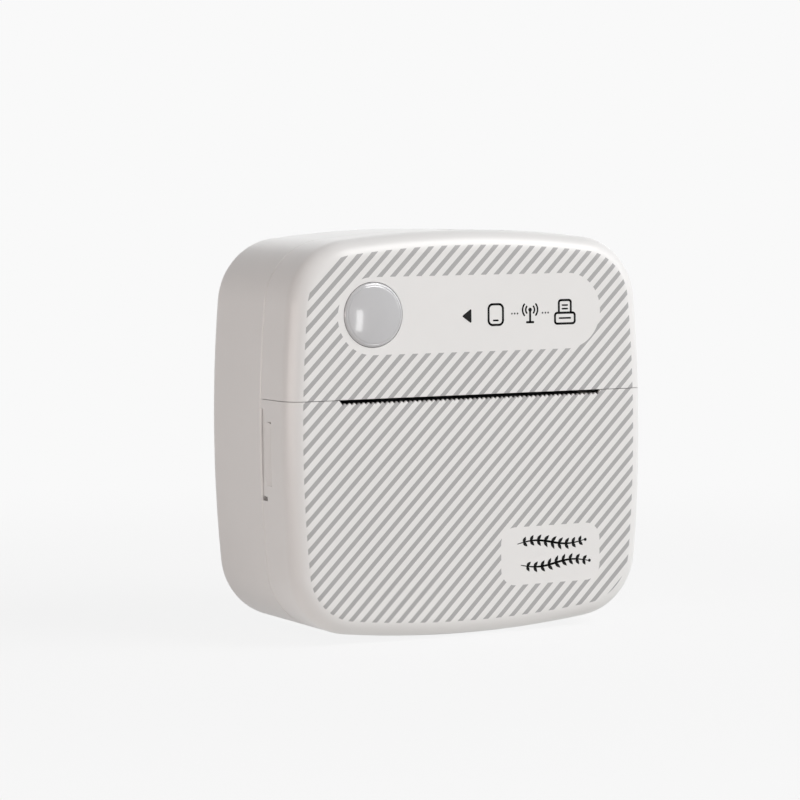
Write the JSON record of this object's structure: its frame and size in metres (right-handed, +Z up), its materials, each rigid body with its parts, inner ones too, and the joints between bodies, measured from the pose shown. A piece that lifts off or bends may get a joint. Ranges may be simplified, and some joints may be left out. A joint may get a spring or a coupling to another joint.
{
  "type": "mini sticker printer",
  "caption": "Pocket thermal sticker printer: rounded-square case, hinged paper cover with tear teeth, platen, print head, gear train, motor, battery and a domed power button.",
  "frame": {"origin": "on the table under the middle of the case, at the bottom centre of its bounding box", "axes": "+X to the right seen from the front, +Y from the front face to the back, +Z up"},
  "size_m": [0.084, 0.0412, 0.0843],
  "materials": {
    "case_white": "fine spark texture",
    "foot_rubber": "matt",
    "steel": "ground",
    "screw_steel": "black oxide",
    "button_grey": "polished, translucent",
    "black_plastic": "moulded",
    "led_white": "clear resin",
    "board_green": "solder mask",
    "shield_steel": "tinned",
    "bay_grey": "moulded",
    "frame_steel": "zinc plated sheet",
    "ceramic": "glazed line",
    "aluminium": "extruded",
    "spring_steel": "drawn wire",
    "ribbon_amber": "polyimide film",
    "platen_rubber": "ground",
    "gear_plastic": "acetal",
    "motor_steel": "nickel plated",
    "gear_brass": "machined",
    "lead_black": "insulation",
    "lead_red": "insulation",
    "plug_white": "moulded",
    "battery_silver": "pouch film",
    "tape_foam": "foam tape"
  },
  "bodies": {
    "case": {"back_shell": "case_white", "upper_front_shell": "case_white", "rubber_feet": "foot_rubber", "hinge_pin": "steel", "case_screws": "screw_steel", "board_screws": "screw_steel", "frame_screws": "screw_steel", "motor_screws": "screw_steel", "power_switch": "black_plastic", "status_led": "led_white", "main_board": "board_green", "wireless_module": "shield_steel", "charging_socket": "shield_steel", "paper_bay": "bay_grey", "paper_sensor": "black_plastic", "print_frame": "frame_steel", "head_pivot_pin": "steel", "head_springs": "spring_steel", "head_ribbon": "ribbon_amber", "idler_stud": "steel", "idler_clip": "spring_steel", "stepper_motor": "motor_steel", "motor_leads": "lead_black", "motor_plug": "plug_white", "battery": "battery_silver", "battery_tape": "tape_foam", "battery_plug": "plug_white", "battery_leads": "lead_red"},
    "cover": {"paper_cover": "case_white", "platen_bushes": "black_plastic"},
    "platen": {"platen_shaft": "steel", "platen_roller": "platen_rubber", "platen_gear": "gear_plastic"},
    "idler": {"idler_gear": "gear_plastic"},
    "motor_rotor": {"motor_shaft": "steel", "motor_pinion": "gear_brass"},
    "print_head": {"head_strip": "ceramic", "heat_sink": "aluminium"},
    "button": {"power_button": "button_grey", "switch_plunger": "black_plastic"}
  },
  "joints": [
    {"name": "cover_hinge", "type": "hinge", "parent": "case", "child": "cover", "pos_m": [0, -0.0087, 0.0027], "axis": [1, 0, 0], "range_deg": [0, 85]},
    {"name": "platen_spin", "type": "hinge", "parent": "cover", "child": "platen", "pos_m": [0, -0.0126, 0.0457], "axis": [1, 0, 0], "continuous": true},
    {"name": "idler_spin", "type": "hinge", "parent": "case", "child": "idler", "pos_m": [0.036, -0.00567, 0.0497], "axis": [1, 0, 0], "continuous": true},
    {"name": "motor_spin", "type": "hinge", "parent": "case", "child": "motor_rotor", "pos_m": [0.03, 0.00252, 0.05544], "axis": [1, 0, 0], "continuous": true},
    {"name": "head_tilt", "type": "hinge", "parent": "case", "child": "print_head", "pos_m": [0, -0.00653, 0.0546], "axis": [1, 0, 0], "range_deg": [0, 2.5], "stiffness_Nm_per_rad": 0.3, "springref_deg": -5.73, "deforming": ["head_springs"]},
    {"name": "button_press", "type": "slide", "parent": "case", "child": "button", "axis": [0, 1, 0], "range_m": [0, 0.0006], "stiffness_N_per_m": 500, "springref_m": -0.001}
  ],
  "couplings": [
    {"joint": "idler_spin", "follows": "platen_spin", "ratio": -1.2857},
    {"joint": "motor_spin", "follows": "platen_spin", "ratio": 3}
  ]
}
